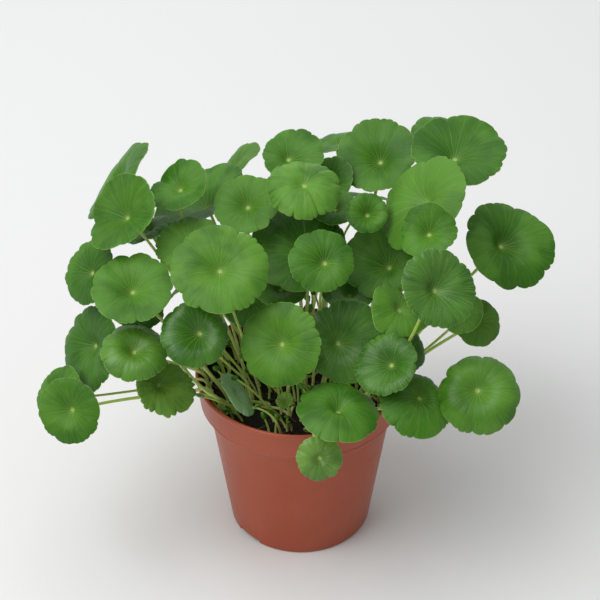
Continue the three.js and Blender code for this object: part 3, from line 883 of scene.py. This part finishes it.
def read_leaf(node):
    """Works out a leaf's frame, outline, rise and petiole from its solid."""
    solid = merged(node)
    in_pot = [vertex for vertex in solid.verts if vertex.co.xy.length < MIX_HIGH.x]
    foot = sorted(in_pot, key=lambda vertex: vertex.co.z)[:3]
    levels = spread_from(foot)
    stem = []
    for level in levels:
        if len(level) != 3:
            break
        stem.append(sum((vertex.co for vertex in level), Vector()) / 3)
    tip = levels[-1].pop()
    ring = neighbours([tip])
    rim = neighbours(ring) - ring - {tip}
    normal = Vector()
    for vertex in rim:
        lower = neighbours([vertex]) - ring - rim
        normal += min((vertex.co - other.co for other in lower), key=lambda step: step.length)
    half = normal.length / len(rim) / 2
    normal.normalize()
    navel = tip.co - half * normal
    across = Vector((0, 0, 1)).cross(normal).normalized()
    down = across.cross(normal)

    def polar(vertices):
        """Angles, radii and heights of vertices about the navel, in the angles' order."""
        offsets = [vertex.co - navel for vertex in vertices]
        u, v, height = (np.array([offset.dot(axis) for offset in offsets])
                        for axis in (down, across, normal))
        order = np.argsort(np.arctan2(v, u))
        return np.arctan2(v, u)[order], np.hypot(u, v)[order], height[order] - half

    notches, _, mid_heights = polar(ring)
    angles, radii, heights = polar(rim)
    gap = np.abs(np.angle(np.exp(1j * (angles[:, None] - notches[None, :]))))
    full = gap.min(axis=1) >= 0.01
    outline = fitted(angles[full], radii[full], [1])
    rim_rise = fitted(angles[full], heights[full], [2, 3])
    nearest = [np.argmin(gap[:, lobe]) for lobe in range(len(notches))]
    depths = 1 - radii[nearest] / outline(angles[nearest])
    traits = {**PLAIN_LEAF, **TRAITS.get(node, {})}
    sink, roll = traits.pop("sink") * MM, traits.pop("roll") * MM
    found = SimpleNamespace(
        name=node, navel=navel, down=down, across=across, normal=normal, notches=notches,
        depths=depths, outline=outline, rim_rise=rim_rise,
        well=np.mean(mid_heights - 0.25 * rim_rise(notches)), width=2 * np.mean(radii[full]),
        stem=[*stem, navel - sink * normal], sink=sink, roll=roll,
        sinus=notches[np.argmax(depths)], **traits,
    )
    solid.free()
    return found


def rise(leaf, out, angle):
    """Height of a blade over its navel: a funnel at the petiole, the solid's bend, and a rim
    that rolls."""
    funnel = (1 - np.exp(-((out / FUNNEL) ** 2))) * (1 - out**3) / HALFWAY
    sunk = leaf.sink * math.exp(-((out / leaf.mouth) ** 2))
    curl = leaf.roll * max(0, (out - CURL_FROM) / (1 - CURL_FROM)) ** 2
    across = np.sqrt(np.sin(angle - leaf.sinus) ** 2 + 0.01) - 0.5
    fold = leaf.crease * leaf.width / 2 * across * out
    return leaf.well * funnel + leaf.rim_rise(angle) * out**2 - sunk - curl + fold


def blade_disc(leaf, settings):
    """One face of a blade without its thickness, with what the geometry tree reads."""
    lobes = len(leaf.notches)
    ends = np.append(leaf.notches, leaf.notches[0] + 2 * math.pi)
    along = np.concatenate([scallop + SCALLOP_STEPS for scallop in range(SCALLOPS)]) / SCALLOPS
    phases = np.concatenate([lobe + along for lobe in range(lobes)])
    lobe = np.floor(phases).astype(int)
    angles = ends[lobe] + (phases - lobe) * (ends[lobe + 1] - ends[lobe])
    uneven = 1.0 + 0.5 * np.sin(3.7 * np.arange(lobes) + 90 * leaf.width / MM)
    depths = leaf.depths * np.where(leaf.depths < DEEP_NOTCH, uneven, KEPT)
    depths = np.append(depths, depths[0])
    depth = np.where(phases - lobe < 0.5, depths[lobe], depths[lobe + 1])
    radii = leaf.outline(angles)
    rim = settings.thickness / leaf.width
    outs = [*RINGS, *(1 - rim * step for step in RIM_STEPS)]
    points = [leaf.navel - leaf.sink * leaf.normal]
    columns = {"disc": [(0, 0, 0)], "out": [0], "phase": [0], "depth": [0]}
    for out in outs:
        heights = rise(leaf, out, angles)
        for index, angle in enumerate(angles):
            point = leaf.navel + leaf.down * (out * radii[index] * math.cos(angle))
            point += leaf.across * (out * radii[index] * math.sin(angle))
            points.append(point + leaf.normal * heights[index])
            turn = 2 * math.pi * phases[index] / lobes
            columns["disc"].append((out * math.cos(turn), out * math.sin(turn), 0))
            columns["out"].append(out)
            columns["phase"].append(phases[index])
            columns["depth"].append(depth[index])
    spokes = len(angles)
    faces = []
    for index in range(spokes):
        after = (index + 1) % spokes
        faces.append((0, 1 + index, 1 + after))
        for near in range(1, 1 + (len(outs) - 1) * spokes, spokes):
            far = near + spokes
            faces.append((near + index, far + index, far + after, near + after))
    mesh = mesh_from(leaf.name, points, faces)
    for name, values in columns.items():
        kind, field = ("FLOAT_VECTOR", "vector") if name == "disc" else ("FLOAT", "value")
        layer = mesh.attributes.new(name, kind, "POINT")
        layer.data.foreach_set(field, np.array(values, dtype=np.float32).ravel())
    return mesh


def stalk(tree, path, girth, finish):
    """A round tube along a path, with its place along and around it for its material."""
    path = tree.store(path, "along", tree.node("GeometryNodeSplineParameter"))
    ring = tree.store(tree.ring(STALK_SIDES), "around", tree.node("GeometryNodeSplineParameter"))
    return tree.dressed(tree.tube(path, ring, girth), finish)


def lobed_disc(tree, given, uneven):
    """The disc with lobes, scallops, pleats and folds, still without its thickness."""
    def named(name):
        values = {"Name": name}
        return tree.node("GeometryNodeInputNamedAttribute", values, data_type="FLOAT")

    out, phase, depth = named("out"), named("phase"), named("depth")
    inward = given["Navel"].vector("SUBTRACT", tree.node("GeometryNodeInputPosition"))
    arc = abs((phase * math.pi).math("SINE"))
    small = abs((phase * (SCALLOPS * math.pi)).math("SINE"))
    patchy = uneven(2.6, 60.0, 3.0).smooth(-0.12, 0.2) * 3.0
    dip = depth * (1.0 - arc**0.7) + given["Crenation"] * patchy * (1.0 - small**0.5)
    dip = dip + uneven(6.0, 20.0) * given["Crenation"] * 1.5
    lobed = tree.moved(given["Geometry"], inward.scaled(dip * out**7))

    outer = out * (1.0 - out**4 * 0.4)
    folds = (phase * (4 * math.pi)).math("COSINE")
    crests = (phase * (2 * math.pi)).math("COSINE")
    patches = uneven(1.3, 40.0).smooth(-0.15, 0.2) * 2.0
    lift = (folds * 0.5 + crests) * given["Pleat"] * outer * patches * (-1.0)
    lift = lift + uneven(1.3, 0.0) * given["Waver"] * out
    return out, tree.moved(lobed, given["Facing"].scaled(lift))


def leaf_tree():
    """Lobes, pleats and thickness for a blade, and a tapered tube for its petiole."""
    tree, given = new_geometry_tree(
        "Pennywort leaf", Object=("Petiole",), Vector=("Navel", "Facing"),
        Float=("Radius", "Lobes", "Thickness", "Pleat", "Waver", "Crenation", "Foot radius",
               "Neck radius", "Flare", "Tone", "Warmth", "Grain", "Grey", "Gloss", "Seed"),
        Material=("Blade finish", "Petiole finish"),
    )
    flat = tree.node("GeometryNodeInputNamedAttribute", {"Name": "disc"},
                     data_type="FLOAT_VECTOR")

    def uneven(scale, aside, detail=2.0):
        """Even-tempered noise over the blade, from about -0.5 to 0.5."""
        values = {"Vector": flat, "W": given["Seed"] + aside, "Scale": scale, "Detail": detail}
        return tree.node("ShaderNodeTexNoise", values, noise_dimensions="4D") - 0.5

    out, lifted = lobed_disc(tree, given, uneven)
    inset = (1.0 - out) * given["Radius"] / given["Thickness"] * 2.0
    inset = inset.math("MINIMUM", 1.0)
    swell = (1.0 - (1.0 - inset) * (1.0 - inset)) ** 0.5 * given["Thickness"] * 0.5
    surface = tree.node("GeometryNodeInputNormal")
    above = tree.store(tree.moved(lifted, surface.scaled(swell)), "under", given["Grey"])
    below = tree.moved(lifted, surface.scaled(swell * (-1.0)))
    below = tree.store(tree.node("GeometryNodeFlipFaces", {0: below}), "under", 1.0)
    both = tree.node("GeometryNodeJoinGeometry", {0: [below, above]})
    values = {0: both, "Distance": 0.1 * TINY}
    blade = tree.node("GeometryNodeMergeByDistance", values)
    blade = tree.store(tree.store(blade, "radius", given["Radius"]), "lobes", given["Lobes"])
    blade = tree.dressed(blade, given["Blade finish"])

    path = tree.node("GeometryNodeObjectInfo", {"Object": given["Petiole"]}, "Geometry",
                     transform_space="ORIGINAL")
    values = {"Curve": path, "Length": STALK_STEP}
    path = tree.node("GeometryNodeResampleCurve", values, mode="LENGTH")
    along = tree.node("GeometryNodeSplineParameter")
    girth = tree.blend(along, given["Foot radius"], given["Neck radius"])
    girth = girth + along.smooth(0.965, 1.0) * given["Flare"]
    tube = stalk(tree, path, girth, given["Petiole finish"])
    leaf = tree.node("GeometryNodeJoinGeometry", {0: [tube, blade]})
    for name in ("Tone", "Warmth", "Grain", "Gloss"):
        leaf = tree.store(leaf, name.lower(), given[name])
    return finish_tree(tree, tree.node("GeometryNodeSetShadeSmooth", {"Geometry": leaf}))


def petiole_path(leaf):
    """A smooth curve through the middle of the solid's petiole."""
    curve = bpy.data.curves.new(f"{leaf.name}_petiole", "CURVE")
    curve.dimensions = "3D"
    curve.resolution_u = 6
    spline = curve.splines.new("BEZIER")
    spline.bezier_points.add(len(leaf.stem) - 1)
    for point, place in zip(spline.bezier_points, leaf.stem):
        point.co = place
        point.handle_left_type = point.handle_right_type = "AUTO"
    return new_object(f"{leaf.name}_path", curve)


class PENNYWORT_OT_leaves(bpy.types.Operator):
    """Makes every leaf, its blade and its petiole, in place of its solid"""

    bl_idname = "pennywort.leaves"
    bl_label = "Leaves"

    def execute(self, context):
        settings = context.scene.pennywort_leaf
        tree = leaf_tree()
        blade, petiole = blade_finish(settings), petiole_finish(settings)
        for index, node in enumerate(LEAF_NODES):
            leaf = read_leaf(node)
            path = petiole_path(leaf)
            girth = 1 + 0.18 * math.sin(3 * index)
            piece = new_object(node, blade_disc(leaf, settings))
            add_tree(piece, tree, {
                "Petiole": path, "Navel": tuple(leaf.navel), "Facing": tuple(leaf.normal),
                "Radius": leaf.width / 2, "Lobes": float(len(leaf.notches)),
                "Thickness": settings.thickness,
                "Pleat": settings.pleat * (1 + leaf.crinkle),
                "Waver": settings.waver * leaf.width * (1 + 0.4 * leaf.crinkle),
                "Crenation": settings.crenation * (1 + leaf.crinkle),
                "Foot radius": girth * settings.petiole_foot,
                "Neck radius": girth * settings.petiole_neck,
                "Flare": settings.petiole_flare, "Tone": leaf.tone + 0.1 * math.sin(5 * index),
                "Warmth": leaf.warmth, "Grain": leaf.grain, "Grey": leaf.grey,
                "Gloss": leaf.gloss, "Seed": float(index),
                "Blade finish": blade, "Petiole finish": petiole,
            })
            piece = evaluated(piece, f"pennywort_{node}")
            bpy.data.objects.remove(path)
            settle(piece, "leaf", node)
        return {"FINISHED"}


# ---- Young shoots and runners -------------------------------------------------------------------
SHOOT_CIRCLE = 50 * MM         # shoots rise inside this radius
SHOOT_TRIES = 4000
SHOOT_SEED = 32
SHOOT_POINTS = 14
SHORTEN = 0.8                  # a shoot that is in the way gets shorter by this factor
RIM_ROOM = 6 * MM              # how far shoots keep in from the rim
OVER_RIM = 3 * MM              # and how high above it they still do
LEAN_X, LEAN_Y = (-0.7, 0.3), (-0.3, 0.5)   # a shoot's lean, as a share of its height
LEAN_OUT = 0.45                # what is added to it outwards, at the edge of the circle
RUNNER_STEPS = 6
RUNNER_BEND = 0.2              # how far a runner bows, as a share of its stretch


def petiole_feet():
    """Where each petiole leaves the mix."""
    feet = []
    for node in LEAF_NODES:
        stem = read_leaf(node).stem
        for low, high in zip(stem, stem[1:]):
            if low.z <= MIX_HIGH.z < high.z:
                feet.append(low.lerp(high, (MIX_HIGH.z - low.z) / (high.z - low.z)))
                break
    return feet


def leaf_surfaces():
    """Every leaf's solid in one tree that finds the nearest surface."""
    corners, faces = [], []
    for node in LEAF_NODES:
        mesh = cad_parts[node].data
        faces += [[len(corners) + index for index in face.vertices] for face in mesh.polygons]
        corners += [vertex.co.copy() for vertex in mesh.vertices]
    return BVHTree.FromPolygons(corners, faces)


def arch(foot, lean, tall):
    """A shoot's path, which leans more as it rises. It starts a little below the mix."""
    steps = [step / (SHOOT_POINTS - 2) for step in range(-1, SHOOT_POINTS - 1)]
    return [
        foot + Vector((0, 0, tall * step)) + lean * (tall * step * (0.35 + 0.65 * abs(step)))
        for step in steps
    ]


def shoot_paths(settings):
    """Shoots that keep clear of the leaves, of one another and of the pot's rim."""
    solids = leaf_surfaces()
    pick = random.Random(SHOOT_SEED)

    def clear(path, others):
        for point in path[1:]:
            low = point.z < POT_HIGH.z + OVER_RIM
            if low and point.xy.length > POT_HIGH.x - RIM_ROOM:
                return False
            if solids.find_nearest(point, settings.room)[0] is not None:
                return False
            if any((point - other).length < settings.apart for other in others):
                return False
        bud = path[-1] + (path[-1] - path[-2]).normalized() * (0.5 * settings.bud)
        return solids.find_nearest(bud, 0.8 * settings.bud)[0] is None

    paths, taken = [], []
    for _ in range(SHOOT_TRIES):
        if len(paths) == settings.shoots:
            break
        angle = pick.uniform(0, 2 * math.pi)
        reach = SHOOT_CIRCLE * math.sqrt(pick.random())
        outward = Vector((math.cos(angle), math.sin(angle), 0))
        aside = Vector((pick.uniform(*LEAN_X), pick.uniform(*LEAN_Y), 0))
        foot = outward * reach + Vector((0, 0, MIX_HIGH.z))
        lean = outward * (LEAN_OUT * reach / SHOOT_CIRCLE) + aside
        tall = pick.uniform(settings.shortest, settings.tallest)
        while tall > settings.shortest and not clear(arch(foot, lean, tall), taken):
            tall *= SHORTEN
        if tall > settings.shortest:
            paths.append(arch(foot, lean, tall))
            taken += paths[-1]
    return paths


def runner_paths(settings, surface):
    """Runners over the mix from petiole to petiole, each time to the nearest one left."""
    left = petiole_feet()
    chains = [[left.pop(0)]]
    while left:
        last = chains[-1][-1]
        nearest = min(left, key=lambda foot: (foot - last).length)
        left.remove(nearest)
        if (nearest - last).length > settings.link:
            chains.append([])
        chains[-1].append(nearest)
    paths = []
    for index, chain in enumerate(chain for chain in chains if len(chain) > 1):
        path = []
        for start, end in zip(chain, chain[1:]):
            bend = RUNNER_BEND * math.sin(4 * index + start.x / MM)
            aside = Vector((0, 0, 1)).cross(end - start) * bend
            for step in range(RUNNER_STEPS):
                along = step / RUNNER_STEPS
                place = start.lerp(end, along) + aside * math.sin(math.pi * along)
                place.z = mix_height(place.x, place.y, surface) + 0.3 * settings.radius
                path.append(place)
        paths.append(path)
    return paths


def path_object(name, paths, thick, thin):
    """Paths as one curve object, each from thick to thin."""
    curve = bpy.data.curves.new(name, "CURVE")
    curve.dimensions = "3D"
    for path in paths:
        spline = curve.splines.new("POLY")
        spline.points.add(len(path) - 1)
        for index, (point, place) in enumerate(zip(spline.points, path)):
            point.co = (*place, 1)
            point.radius = thick + (thin - thick) * index / len(path)
    return new_object(name, curve)


def shoot_tree():
    """Tubes along paths, with a folded young leaf at each end if it has any length."""
    tree, given = new_geometry_tree(
        "Young shoots", Float=("Bud",), Material=("Finish", "Bud finish")
    )
    tube = stalk(tree, given["Geometry"], tree.node("GeometryNodeInputRadius"), given["Finish"])
    ball = tree.node("GeometryNodeMeshIcoSphere", {"Radius": 0.5, "Subdivisions": 3})
    place = tree.node("GeometryNodeInputPosition")
    crease = tree.node("ShaderNodeTexWave", {"Vector": place, "Scale": 2.2})
    drawn = place.vector("MULTIPLY", (1.0, 1.0, 0.0)).scaled((crease - 1.0) * 0.35)
    values = {0: tree.moved(ball, drawn), "Translation": (0, 0, 0.4), "Scale": (0.75, 0.3, 1.0)}
    folded = tree.dressed(tree.node("GeometryNodeTransform", values), given["Bud finish"])
    ends = tree.node("GeometryNodeCurveEndpointSelection", {0: 0, 1: 1})
    chosen = ends * given["Bud"].math("GREATER_THAN", 0.0)
    tangent = tree.node("GeometryNodeInputTangent")
    turn = tree.node("FunctionNodeAlignRotationToVector", {"Vector": tangent}, axis="Z")
    size = tree.random_vector((0.6, 0.6, 0.6), (1.2, 1.2, 1.2), 2).scaled(given["Bud"])
    buds = tree.placed(given["Geometry"], folded, Selection=chosen, Rotation=turn, Scale=size)
    both = tree.node("GeometryNodeJoinGeometry", {0: [tube, buds]})
    return finish_tree(tree, tree.node("GeometryNodeSetShadeSmooth", {"Geometry": both}))


class PENNYWORT_OT_shoots(bpy.types.Operator):
    """Makes the young shoots and the runners that creep over the mix"""

    bl_idname = "pennywort.shoots"
    bl_label = "Shoots and runners"

    def execute(self, context):
        settings = context.scene.pennywort_shoot
        leaf_settings = context.scene.pennywort_leaf
        finish, bud_finish = petiole_finish(leaf_settings), young_finish(leaf_settings)
        tree = shoot_tree()
        radius = settings.radius

        def grow(name, paths, thick, thin, bud):
            paths = path_object(f"{name}_paths", paths, thick, thin)
            add_tree(paths, tree, {"Bud": bud, "Finish": finish, "Bud finish": bud_finish})
            settle(evaluated(paths, name), "leaf")

        grow("young_shoots", shoot_paths(settings), radius, 0.65 * radius, settings.bud)
        ways = runner_paths(settings, context.scene.pennywort_mix)
        grow("runners", ways, 1.2 * radius, radius, 0.0)
        return {"FINISHED"}


# ---- Stage --------------------------------------------------------------------------------------
LIGHTS = {                     # each light's size, its place and the point that it faces
    "key": (2.2, (-1.5, -0.8, 2.3), (0, 0, 0.1)),
    "back": (1.8, (-0.1, 1.7, 1.25), (0, 0.1, 0.1)),
    "top": (1.2, (-0.2, 0.1, 1.7), (0, 0, 0)),
}
SKY = (0.95, 0.97, 1.0, 1)


def aimed(thing, place, target):
    """Puts a lamp or the camera at a place, looking at a point."""
    way = Vector(target) - Vector(place)
    turn = way.to_track_quat("-Z", "Y").to_matrix().to_4x4()
    thing.matrix_world = Matrix.Translation(place) @ turn


class PENNYWORT_OT_stage(bpy.types.Operator):
    """Makes the pale floor, the soft lights and the camera"""

    bl_idname = "pennywort.stage"
    bl_label = "Stage"

    def execute(self, context):
        settings = context.scene.pennywort_stage
        half = settings.floor_size / 2
        corners = [(-half, -half, 0), (half, -half, 0), (half, half, 0), (-half, half, 0)]
        floor = new_object("floor", mesh_from("floor", corners, [(0, 1, 2, 3)]))
        tree, shader, material = new_material("pale_floor", 0.1, 0.8)
        patches = tree.noise(tree.place(), 3.0, 2.0)
        feed(shader, base_color=tree.mix(patches * 0.06, settings.floor, settings.floor_shade))
        floor.data.materials.append(material)

        world = bpy.data.worlds.new("soft_sky")
        context.scene.world = world
        world.use_nodes = True
        backdrop = world.node_tree.nodes["Background"]
        backdrop.inputs["Color"].default_value = SKY
        backdrop.inputs["Strength"].default_value = settings.sky

        for name, (size, place, target) in LIGHTS.items():
            lamp = bpy.data.lights.new(name, "AREA")
            lamp.energy = getattr(settings, name)
            lamp.size = size
            aimed(new_object(name, lamp), place, target)

        camera = bpy.data.cameras.new("camera")
        camera.lens = settings.lens
        camera.sensor_width = 36
        camera.shift_x = settings.shift
        eye = new_object("camera", camera)
        target = Vector(settings.target)
        back = Vector((0, -math.cos(settings.elevation), math.sin(settings.elevation)))
        aimed(eye, target + back * settings.distance, target)
        context.scene.camera = eye
        context.scene.view_settings.view_transform = "Standard"
        return {"FINISHED"}


# ---- Panel and registration ---------------------------------------------------------------------
GROUPS = {
    "pennywort_pot": (PotSettings, PENNYWORT_OT_pot),
    "pennywort_mix": (MixSettings, PENNYWORT_OT_mix),
    "pennywort_leaf": (LeafSettings, PENNYWORT_OT_leaves),
    "pennywort_shoot": (ShootSettings, PENNYWORT_OT_shoots),
    "pennywort_stage": (StageSettings, PENNYWORT_OT_stage),
}


class VIEW3D_PT_pennywort(bpy.types.Panel):
    """Lists the plant's settings and the operators that build it"""

    bl_label = "Potted Pennywort"
    bl_space_type = "VIEW_3D"
    bl_region_type = "UI"
    bl_category = "Pennywort"

    def draw(self, context):
        for name, (settings, work) in GROUPS.items():
            box = self.layout.box()
            box.operator(work.bl_idname)
            for label in settings.__annotations__:
                box.prop(getattr(context.scene, name), label)


def register():
    for name, (settings, work) in GROUPS.items():
        bpy.utils.register_class(settings)
        setattr(bpy.types.Scene, name, bpy.props.PointerProperty(type=settings))
        bpy.utils.register_class(work)
    bpy.utils.register_class(VIEW3D_PT_pennywort)


def unregister():
    bpy.utils.unregister_class(VIEW3D_PT_pennywort)
    for name, (settings, work) in reversed(GROUPS.items()):
        bpy.utils.unregister_class(work)
        delattr(bpy.types.Scene, name)
        bpy.utils.unregister_class(settings)


def main():
    register()
    bpy.ops.pennywort.stage()
    bpy.ops.pennywort.pot()
    bpy.ops.pennywort.mix()
    bpy.ops.pennywort.leaves()
    bpy.ops.pennywort.shoots()


if __name__ == "__main__":
    main()
